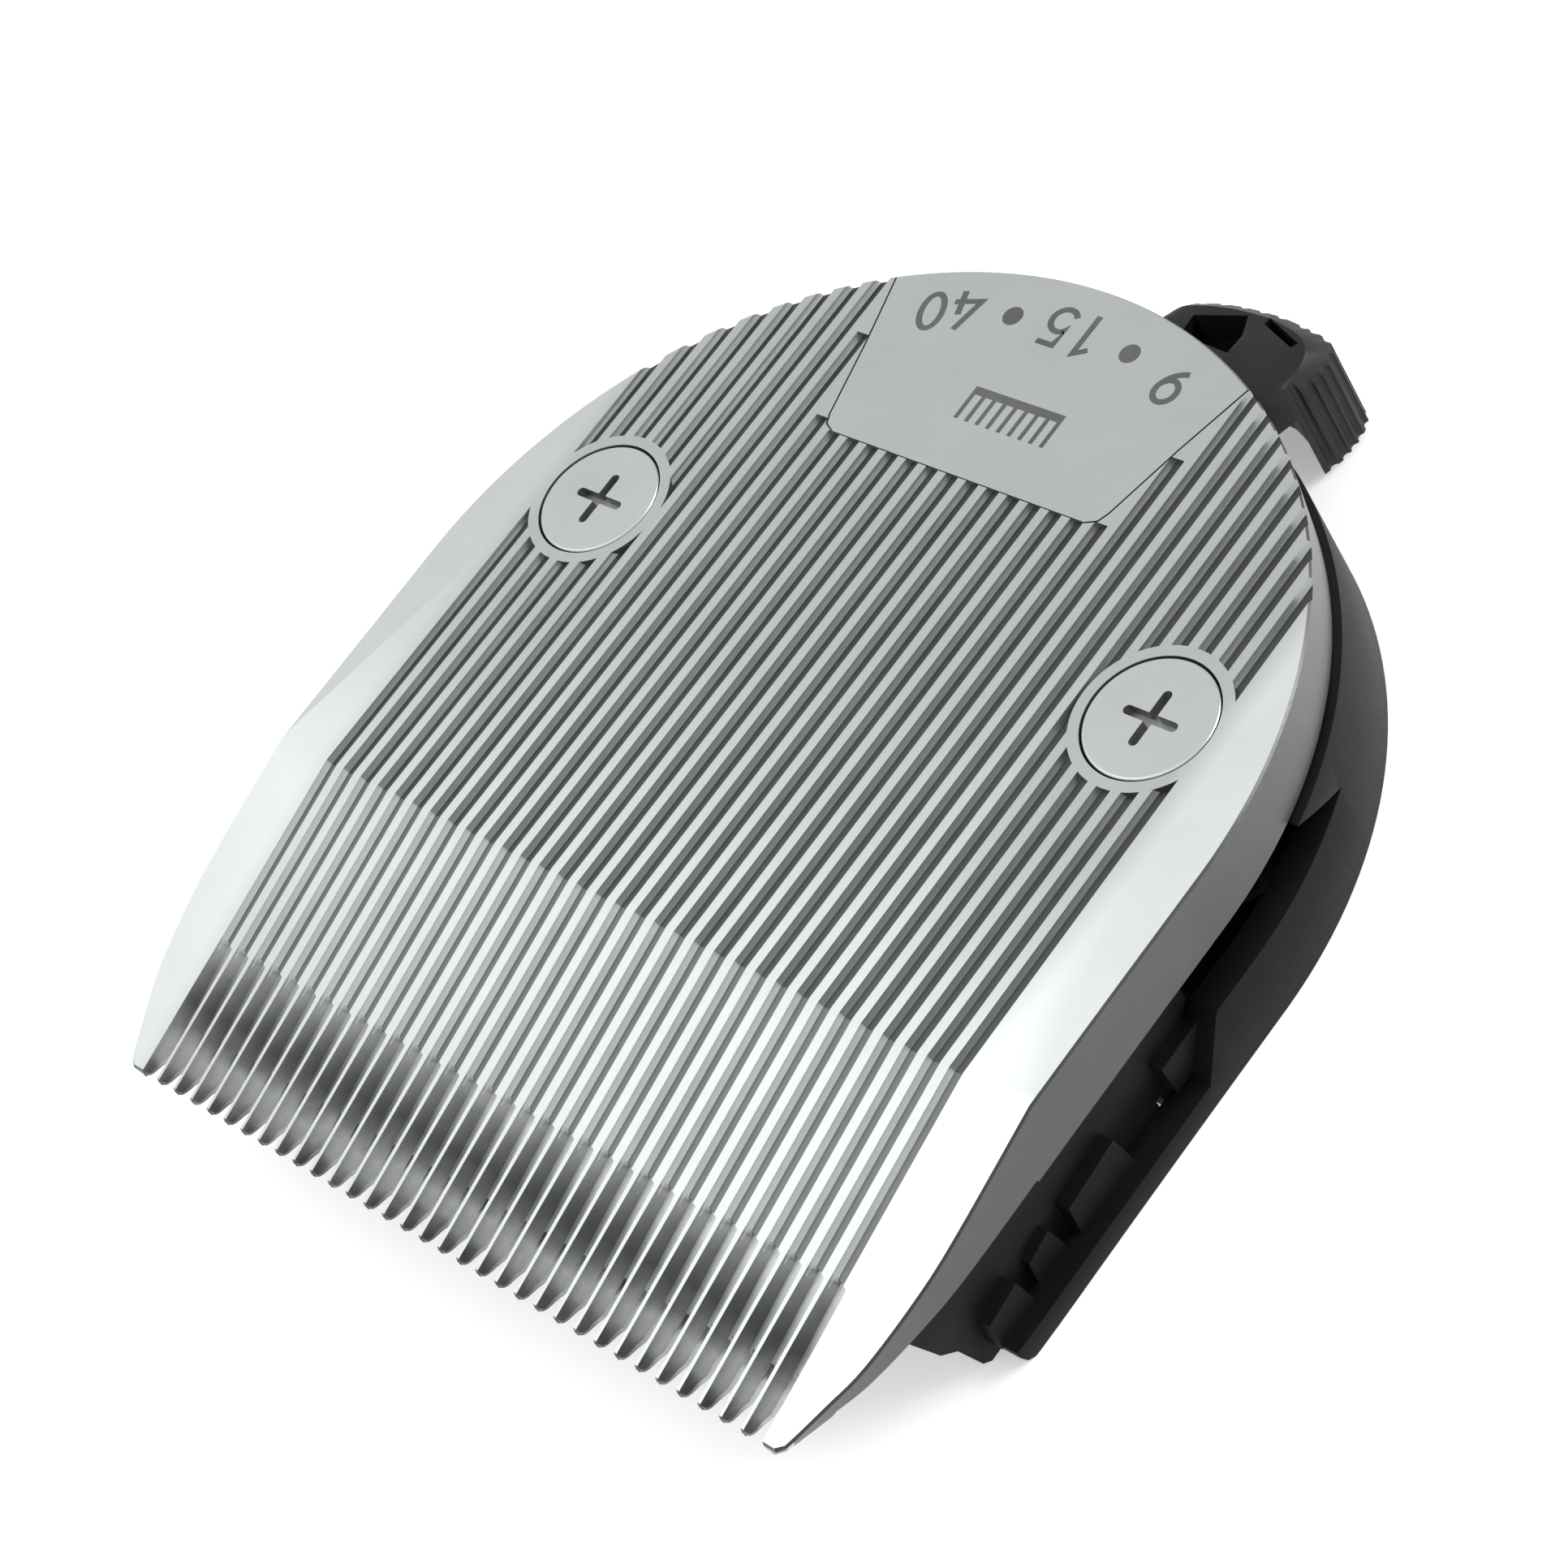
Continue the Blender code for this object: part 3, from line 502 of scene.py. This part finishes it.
def make_comb():
    comb = comb_body()
    centres = [FIRST_CREST + PITCH * (k + 0.5) for k in range(GAPS)]
    groove_centres = [x - GROOVE_SHIFT for x in centres]
    grooves = mesh_object("grooves", joined([groove(x) for x in groove_centres]))
    low, high = HEIGHT - 3, HEIGHT + 3
    for x0 in groove_centres:
        end = groove_end(x0)
        if end is not None:
            left, right = x0 - PITCH / 2, x0 + PITCH / 2
            cut(grooves, prism([(left, end), (right, end), (right, 30.0), (left, 30.0)], low, high))
    for side in (-1, 1):
        cut(grooves, prism(circle(side * SCREW_X, SCREW_Y, BOSS_RADIUS, 96), low, high))
    tool = bmesh.new()
    tool.from_mesh(grooves.data)
    bpy.data.objects.remove(grooves, do_unlink=True)
    cut(comb, tool)
    cut(comb, joined([side_prism(SIDE_STEP, 21.9, 27.0), side_prism(SIDE_STEP, -27.0, -21.9)]))
    for side in (-1, 1):
        seat = [(3.32, HEIGHT + 1.0), (3.31, VISIBLE_TOP),
                (3.29, VISIBLE_TOP - 0.08), (3.29, VISIBLE_TOP - 1.4)]
        cut(comb, turned(side * SCREW_X, SCREW_Y, seat))
        cut(comb, prism(circle(side * SCREW_X, SCREW_Y, 1.5, 48), *BORE_Z))
        cut(comb, plate_line(side))
    cut(comb, side_prism(TIP_LIFT, -TEETH_HALF, TEETH_HALF))
    cut(comb, joined([tooth_slot(x) for x in centres]))
    cut(comb, joined([flute(x) for x in centres]))
    tidy_mesh(comb)

    looks = [STEEL_TOP, STEEL_WALL_PAINTED_SHADING, STEEL_GROOVE_PAINTED_SHADE, STEEL_FLUTE_PAINTED_SHADING, STEEL_UNDER, STEEL_FLOOR_PAINTED_SHADE,
             STEEL_FRONT_GROOVE_PAINTED_LIGHT, STEEL_FRONT_FLOOR_PAINTED_SHADE]
    top_look, wall_look, groove_look, flute_look, under_look, floor_look, front_groove, front_floor = range(8)

    def choose(face):
        n, c = face.normal, face.center / MM
        top = face_z(c.y)
        if n.z > 0.9 and c.z > top - 0.06:
            return top_look
        if n.z < -0.5:
            return under_look
        on_rim = abs(c.x) > 21.7 or (c.y > 0 and math.hypot(c.x, c.y) > 24.9)
        # Painted shade: the chamfer along the rim takes the dark floor steel, a dark line painted along the
        # top edge.
        if 0.2 < n.z < 0.9 and c.z > top - 0.13 and on_rim:
            return floor_look
        if abs(c.x) < 21.7 and c.y < TOOTH_START_Y + 0.05:
            return flute_look
        in_groove = c.z > top - 0.6 and math.hypot(c.x, max(0.0, c.y)) < 24.85 and abs(c.x) < 21.6
        # Painted light and shade by place: groove floors darker than groove walls, front groove walls lighter
        # than the rear ones.
        if in_groove:
            at_rear, at_front = (floor_look, front_floor) if n.z > 0.8 else (groove_look, front_groove)
            return at_rear if c.y > CREASE_Y else at_front
        return wall_look

    material_by_face(comb, looks, choose)
    smooth(comb, 24)
    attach(comb, "housing")
    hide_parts("comb_blade")


make_comb()


# --- comb screws ------------------------------------------------------------------------
def cross(x, y, half_length, half_width, z0, z1):
    """Two crossing slots with round ends and slightly drawn-in walls."""
    steps = [DEG(a) for a in range(-90, 91, 15)]
    shapes = []
    for turn in (0, 1):
        pts = [(half_length - half_width + half_width * math.cos(a), half_width * math.sin(a)) for a in steps]
        pts += [(-px, -py) for px, py in pts]
        pts = [(-py, px) if turn else (px, py) for px, py in pts]
        shapes.append(loft([[(x + px * 0.92, y + py * 0.92, z0) for px, py in pts],
                            [(x + px, y + py, z1) for px, py in pts]]))
    return shapes


def make_comb_screw(side, name):
    x = side * SCREW_X
    top = VISIBLE_TOP - 0.02
    head = [(1.2, 2.8), (1.2, top - 1.1), (3.15, top - 1.1), (3.21, top - 0.20), (3.20, top - 0.05),
            (3.16, top - 0.01), (3.08, top), (2.9, top)]
    screw = mesh_object(name + "_visual", turned(x, SCREW_Y, head))
    cut(screw, *cross(x, SCREW_Y, 1.57, 0.25, top - 0.55, top + 0.3))

    # Painted shade: the cross recess takes a darker copy of the screw steel.
    def choose(face):
        c = face.center / MM
        return int(c.z < top - 0.02 and math.hypot(c.x - x, c.y - SCREW_Y) < 1.7 and c.z > top - 0.9)

    material_by_face(screw, [SCREW_STEEL, RECESS_STEEL_PAINTED_SHADE], choose)
    smooth(screw, 2)
    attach(screw, "housing")
    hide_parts(name)


make_comb_screw(-1, "comb_screw_left")
make_comb_screw(1, "comb_screw_right")


# --- scale marks, laser etched into the plate ---------------------------------------------
DIGIT_HEIGHT = 2.4      # mm; the digit shapes below are in units of this height
STROKE = 0.125
DIGIT_WIDTH = 1.14
DIGIT_BOX = 0.56
ADVANCE = 0.70
MARK_THICK = 0.006      # mm above and below the plate
BAR_COUNT = 9           # teeth of the comb pictogram


def arc(cx, cy, rx, ry, start, end, steps=14):
    turns = [start + (end - start) * i / steps for i in range(steps + 1)]
    return [(cx + rx * math.cos(DEG(t)), cy + ry * math.sin(DEG(t))) for t in turns]


# strokes of each digit in a box 0.56 wide and 1 high
DIGITS = {
    "0": [arc(0.28, 0.5, 0.22, 0.44, 0, 360, 32)],
    "1": [[(0.10, 0.80), (0.34, 0.97), (0.34, 0.0)]],
    "4": [[(0.40, 0.98), (0.03, 0.27), (0.58, 0.27)], [(0.43, 0.60), (0.43, 0.0)]],
    "5": [[(0.50, 0.94), (0.13, 0.94), (0.09, 0.50)] + arc(0.26, 0.34, 0.25, 0.28, 125, -150, 18)],
    "9": [arc(0.28, 0.67, 0.22, 0.27, -360, 0, 30), arc(-0.05, 0.67, 0.55, 0.62, -2, -62, 12)],
}


def ribbon(points, width):
    """Flat stroke of even width along a path; a path that ends where it starts is a ring."""
    pts = [Vector((x, y)) for x, y in points]
    ring = (pts[0] - pts[-1]).length < 1e-4
    if ring:
        pts = pts[:-1]
    count = len(pts)
    rows = []
    for i, p in enumerate(pts):
        before = pts[i - 1] if ring or i else p
        after = pts[(i + 1) % count] if ring or i < count - 1 else p
        a, b = (p - before), (after - p)
        a = a.normalized() if a.length else b.normalized()
        b = b.normalized() if b.length else a
        tangent = (a + b).normalized()
        side = Vector((-tangent.y, tangent.x)) * width / 2 / max(0.5, tangent.dot(a))
        rows.append([(p + side, -1), (p - side, -1), (p - side, 1), (p + side, 1)])
    bm = bmesh.new()
    made = [[bm.verts.new((q.x, q.y, z)) for q, z in row] for row in rows]
    for i in range(count if ring else count - 1):
        row, following = made[i], made[(i + 1) % count]
        for k in range(4):
            bm.faces.new((row[k], row[(k + 1) % 4], following[(k + 1) % 4], following[k]))
    if not ring:
        bm.faces.new(made[0])
        bm.faces.new(made[-1])
    return bm


def glyph(text, x, y, turn):
    """Digits that read from the rear of the comb, centred on a point of the plate."""
    pieces = []
    for k, digit in enumerate(text):
        solid = mesh_object("digit", ribbon(DIGITS[digit][0], STROKE))
        add(solid, *[ribbon(path, STROKE) for path in DIGITS[digit][1:]])
        bm = bmesh.new()
        bm.from_mesh(solid.data)
        bpy.data.objects.remove(solid, do_unlink=True)
        shift = Matrix.Translation((k * ADVANCE - (DIGIT_BOX + ADVANCE * (len(text) - 1)) / 2, -0.5, 0.0))
        bmesh.ops.transform(bm, matrix=shift, verts=bm.verts)
        pieces.append(bm)
    bm = joined(pieces)
    place = Matrix.Translation(Vector((x, y, VISIBLE_TOP)) * MM) @ Matrix.Rotation(DEG(180 - turn), 4, "Z")
    size = Matrix.Diagonal((DIGIT_HEIGHT * DIGIT_WIDTH * MM, DIGIT_HEIGHT * MM, MARK_THICK * MM, 1.0))
    bmesh.ops.transform(bm, matrix=place @ size, verts=bm.verts)
    return bm


def rectangle(x0, x1, y0, y1):
    return [(x0, y0), (x1, y0), (x1, y1), (x0, y1)]


def etched(shape):
    return prism(shape, VISIBLE_TOP - MARK_THICK, VISIBLE_TOP + MARK_THICK)


marks = [glyph("9", 7.35, 21.3, 19.0), glyph("15", 0.4, 22.4, 0.5), glyph("40", -6.9, 21.4, -18.5)]
marks += [etched(circle(dot_x, 22.2, 0.55, 40)) for dot_x in (4.07, -3.33)]
for bar in range(BAR_COUNT):
    bar_x = -2.25 + bar * 0.68
    marks.append(etched(rectangle(bar_x - 0.12, bar_x + 0.12, 16.1, 17.6)))
marks.append(etched(rectangle(-2.37, 3.31, 17.6, 18.05)))
scale_marks = mesh_object("scale_marks", joined(marks))
scale_marks.data.materials.append(MARK)
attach(scale_marks, "housing")


# --- base frame ---------------------------------------------------------------------------
def bevelled(obj, width_mm):
    """Small moulded radius on every real edge, applied."""
    modifier = obj.modifiers.new("radius", "BEVEL")
    modifier.width = width_mm * MM
    modifier.segments = 2
    modifier.limit_method = "ANGLE"
    modifier.angle_limit = DEG(35)
    modifier.harden_normals = False
    apply_modifiers(obj)
    smooth(obj, 32)


FRAME_TOP = 6.35
WALL = 1.6
LEVER_REST = 12.0       # degrees from +Y to the middle of the lever
STEP = 9.4              # degrees between two lever positions
# raised blocks on the cheek inside the side window: rear y, front y, top z, outer x
CHEEK_BLOCKS = ((-9.6, -13.6, 3.3, 23.9), (-14.3, -16.4, 2.9, 23.6), (-17.0, -19.6, 3.0, 23.9))


def make_frame():
    frame_obj = mesh_object("base_frame_visual", prism(outline(0.06, -19.5, 100), 0.0, FRAME_TOP))
    cut(frame_obj, prism(outline(WALL, -21.9, 80), -1, FRAME_TOP + 1))
    top = FRAME_TOP + 1
    window = [(8.8, 4.05), (-3.0, 4.05), (-3.3, 3.7), (-5.2, 1.2), (-22.0, 1.2), (-22.0, top), (3.8, top)]
    cut(frame_obj, side_prism(window, -30, 30))
    toe = [(-21, -1), (-18.7, -1), (-18.9, 0.0), (-19.3, 0.25), (-19.55, 0.9), (-21, 0.9)]
    cut(frame_obj, side_prism(toe, -30, 30))
    for side in (-1, 1):
        x = side * SCREW_X
        cheek = [(-3.0, 1.25), (-3.0, 5.5), (-12.5, 5.5), (-12.5, FRAME_TOP), (-22.6, FRAME_TOP),
                 (-21.6, 3.2), (-20.9, 2.4), (-20.4, 0.4), (-20.0, 0.0), (-6.9, 0.0), (-6.9, 1.25)]
        add(frame_obj, side_prism(cheek, side * 22.1, side * 23.1))
        for rear, front, high, reach in CHEEK_BLOCKS:
            block = [(rear, 1.0), (rear - 0.3, high), (front + 0.2, high - 0.3), (front, 1.0)]
            add(frame_obj, side_prism(block, side * 22.5, side * reach))
        web = rectangle(x, side * 24.0, SCREW_Y - 1.0, SCREW_Y + 1.0)
        add(frame_obj, prism(circle(x, SCREW_Y, 3.4, 64), 0, 8.5), prism(web, 0, 3.45))
        cut(frame_obj, prism(circle(x, SCREW_Y, 2.2, 48), 2.4, HEIGHT))
        add(frame_obj, prism(rectangle(side * 19.4, side * 23.9, -6.2, -2.4), 1.5, 3.4))
        add(frame_obj, prism(sector(18.8, 23.9, side * 29.0, side * 37.0, 6), 1.5, 3.4))
    for x, y in ((-20.9, -4.2), (20.9, -4.2), (-11.2, 17.2), (11.2, 17.2)):
        cut(frame_obj, prism(circle(x, y, 0.75, 32), 1.2, 3.0))
    middle, reach = LEVER_REST - STEP, 2 * STEP + 7.5
    cut(frame_obj, prism(sector(22.8, 26.0, middle - reach, middle + reach, 30), 3.8, top))
    bevelled(frame_obj, 0.10)
    frame_obj.data.materials.append(BLACK)
    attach(frame_obj, "housing")
    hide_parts("base_frame")


make_frame()


# --- lever ----------------------------------------------------------------------------------
# by degrees from +Y: outer and inner radius, and height of the ribbed wall
PAD_OUTER = [(1.6, 27.4), (1.9, 28.1), (2.5, 28.5), (5.0, 28.95), (7.6, 29.3), (11.1, 29.65),
             (14.6, 30.05), (16.2, 30.3), (17.4, 30.35), (18.2, 30.15), (18.9, 29.75), (19.6, 29.1),
             (20.1, 28.4), (20.3, 27.8)]
PAD_INNER = [(1.6, 27.0), (13.0, 27.6), (17.0, 27.3), (20.3, 26.75)]
PAD_WALL = [(1.6, 6.1), (12.0, 6.2), (15.0, 5.9), (17.5, 5.4), (20.3, 5.3)]
PAD_TOP = 6.85
LEDGE_Z = 4.4
ARM_Z = (4.1, 6.3)      # underside and top of the lever's flat arm


def pad():
    """Thumb pad: sections across its thickness, swept round the lever axis."""
    rings = []
    steps = 48
    for i in range(steps + 1):
        a = PAD_OUTER[0][0] + (PAD_OUTER[-1][0] - PAD_OUTER[0][0]) * i / steps
        outer, inner, wall = interp(PAD_OUTER, a), interp(PAD_INNER, a), interp(PAD_WALL, a)
        shoulder = max(outer - (6.75 - wall) * 0.9, inner + 0.2)
        section_points = [(inner, 0.35), (outer, 0.35), (outer, wall), (shoulder, 6.6),
                          (26.6, PAD_TOP), (25.5, PAD_TOP), (25.5, LEDGE_Z), (inner, LEDGE_Z)]
        rings.append([(*polar(r, a), z) for r, z in section_points])
    return loft(rings)


def frame_box_centre(name):
    """Middle of a CAD piece, in mm."""
    lo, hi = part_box(name)
    return (lo + hi) / 2 / MM


def make_lever():
    lever = mesh_object("adjusting_lever_visual", prism(circle(0, 0, 5.2, 80), *ARM_Z))
    add(lever, prism(sector(2.5, 13.0, LEVER_REST - 23.0, LEVER_REST + 23.0, 40), *ARM_Z))
    along = Vector((*polar(1.0, LEVER_REST), 0.0))
    across = Vector((along.y, -along.x, 0.0)) * 2.6
    arm = [along * 6 + across, along * 26.4 + across, along * 26.4 - across, along * 6 - across]
    add(lever, prism([(p.x, p.y) for p in arm], *ARM_Z))
    add(lever, pad())
    edge = []
    for i in range(121):
        a = 2.0 + 18.2 * i / 120
        edge.append(Vector((*polar(interp(PAD_OUTER, a), a), 0.0)))
    edge.append(Vector((*polar(27.3, 20.35), 0.0)))
    travelled, next_rib = 0.0, 0.9
    for before, after in zip(edge, edge[1:]):
        travelled += (after - before).length
        if travelled < next_rib:
            continue
        outward = Vector((after.y - before.y, before.x - after.x, 0.0)).normalized()
        outward = -outward if outward.dot(after) < 0 else outward
        centre = after + outward * 0.10
        cut(lever, prism(circle(centre.x, centre.y, 0.27, 16), -1, 6.45))
        next_rib += 1.15 if travelled < 6.0 else 0.62
    pocket = [(2.2, 27.5), (4.9, 28.4), (5.45, 27.2), (5.45, 26.0), (2.4, 26.2)]
    cut(lever, prism(pocket, PAD_TOP - 1.7, PAD_TOP + 1))
    cut(lever, prism([(6.05, 28.62), (6.0, 28.2), (8.2, 27.4), (8.4, 27.75)], PAD_TOP - 1.6, PAD_TOP + 1))
    cut(lever, prism(circle(0, 0, 1.85, 48), 0, HEIGHT))
    for i in range(-2, 3):
        x, y = polar(11.0, LEVER_REST + i * STEP)
        cut(lever, prism(circle(x, y, 0.7, 32), 0, HEIGHT))
    peg = frame_box_centre("lever_peg")
    cut(lever, prism(circle(peg.x, peg.y, 1.0, 40), 0, 5.7))
    bevelled(lever, 0.05)

    # Painted shade: the sunk pockets of the pad take a darker, duller copy of the lever's plastic.
    def choose(face):
        c = face.center / MM
        r, a = math.hypot(c.x, c.y), math.degrees(math.atan2(c.x, c.y))
        sunk = PAD_TOP - 1.75 < c.z < PAD_TOP - 0.35
        return int(sunk and 25.8 < r < min(29.0, interp(PAD_OUTER, a) - 0.5) and 4.0 < a < 17.3)

    material_by_face(lever, [LEVER_BLACK, POCKET_BLACK_PAINTED_SHADE], choose)
    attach(lever, "lever")
    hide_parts("adjusting_lever")


make_lever()


# --- pieces shown by their own CAD surfaces --------------------------------------------
CARRIED = {
    "screw_insert_left": BRASS,
    "screw_insert_right": BRASS,
    "bottom_cover": BLACK,
    "cover_screw_1": BRIGHT_STEEL,
    "cover_screw_2": BRIGHT_STEEL,
    "cover_screw_3": BRIGHT_STEEL,
    "cover_screw_4": BRIGHT_STEEL,
    "lever_peg": BRIGHT_STEEL,
    "pivot_pin": BRIGHT_STEEL,
    "pivot_washer": BRIGHT_STEEL,
    "detent_spring": BRIGHT_STEEL,
    "carriage": BLACK,
    "guide_rail": BRIGHT_STEEL,
    "guide_stud_left": BRIGHT_STEEL,
    "guide_stud_right": BRIGHT_STEEL,
    "cutter_spring_left": BRIGHT_STEEL,
    "cutter_spring_right": BRIGHT_STEEL,
    "cutter_blade": CUTTER_STEEL,
    "cutter_driver": IVORY,
    "cutter_rivet_left": BRIGHT_STEEL,
    "cutter_rivet_right": BRIGHT_STEEL,
}
for node_name, mat in CARRIED.items():
    nodes[node_name].data.materials.clear()
    nodes[node_name].data.materials.append(mat)


# --- floor, light and camera ----------------------------------------------------------------------
FLOOR_HALF = 900


def make_floor():
    square = rectangle(-FLOOR_HALF, FLOOR_HALF, -FLOOR_HALF, FLOOR_HALF)
    floor = mesh_object("floor", prism(square, -3, -0.02))
    n = Nodes("floor_paper")
    n.link(n.ramp(n.noise(40.0), [(0.3, grey(0.80)), (0.7, grey(0.82))]), "Base Color")
    n.shader.inputs["Emission Color"].default_value = (1.0, 1.0, 1.0, 1.0)
    n.shader.inputs["Emission Strength"].default_value = 0.35
    n.shader.inputs["Roughness"].default_value = 0.9
    n.shader.inputs["Specular IOR Level"].default_value = 0.1
    floor.data.materials.append(n.mat)


make_floor()


def area_light(name, place_mm, target_mm, size_mm, watts, color=(1, 1, 1)):
    """Softbox at a place, facing a target."""
    data = bpy.data.lights.new(name, "AREA")
    data.shape = "RECTANGLE"
    data.size, data.size_y = size_mm[0] * MM, size_mm[1] * MM
    data.energy = watts
    data.color = color
    light = bpy.data.objects.new(name, data)
    place = Vector(place_mm) * MM
    light.location = place
    light.rotation_euler = (Vector(target_mm) * MM - place).to_track_quat("-Z", "Y").to_euler()
    bpy.context.scene.collection.objects.link(light)


area_light("front_softbox", (-225, -85, 445), (0, -10, 0), (340, 330), 0.52, (0.97, 1.0, 1.0))
area_light("rear_softbox", (260, 330, 190), (0, 0, 0), (240, 200), 1.6)

world = bpy.data.worlds.new("studio")
bpy.context.scene.world = world
world.use_nodes = True
world.node_tree.nodes["Background"].inputs["Color"].default_value = (0.985, 1.0, 1.0, 1.0)
world.node_tree.nodes["Background"].inputs["Strength"].default_value = 0.94
bpy.context.scene.view_settings.view_transform = "Standard"

CAMERA_AT = Vector((123.469, -51.771, 141.863)) * MM
FORWARD = Vector((-0.65248, 0.25925, -0.71208)).normalized()
ROLL = DEG(-36.75)
level = FORWARD.cross(Vector((0, 0, 1))).normalized()
upward = level.cross(FORWARD)
right = level * math.cos(ROLL) + upward * math.sin(ROLL)
up = -level * math.sin(ROLL) + upward * math.cos(ROLL)
camera_data = bpy.data.cameras.new("photo_camera")
camera_data.sensor_width = 36.0
camera_data.lens = 94.81
camera_data.clip_start = 0.01
camera = bpy.data.objects.new("photo_camera", camera_data)
camera.matrix_world = Matrix((
    (right.x, up.x, -FORWARD.x, CAMERA_AT.x),
    (right.y, up.y, -FORWARD.y, CAMERA_AT.y),
    (right.z, up.z, -FORWARD.z, CAMERA_AT.z),
    (0, 0, 0, 1)))
bpy.context.scene.collection.objects.link(camera)
bpy.context.scene.camera = camera
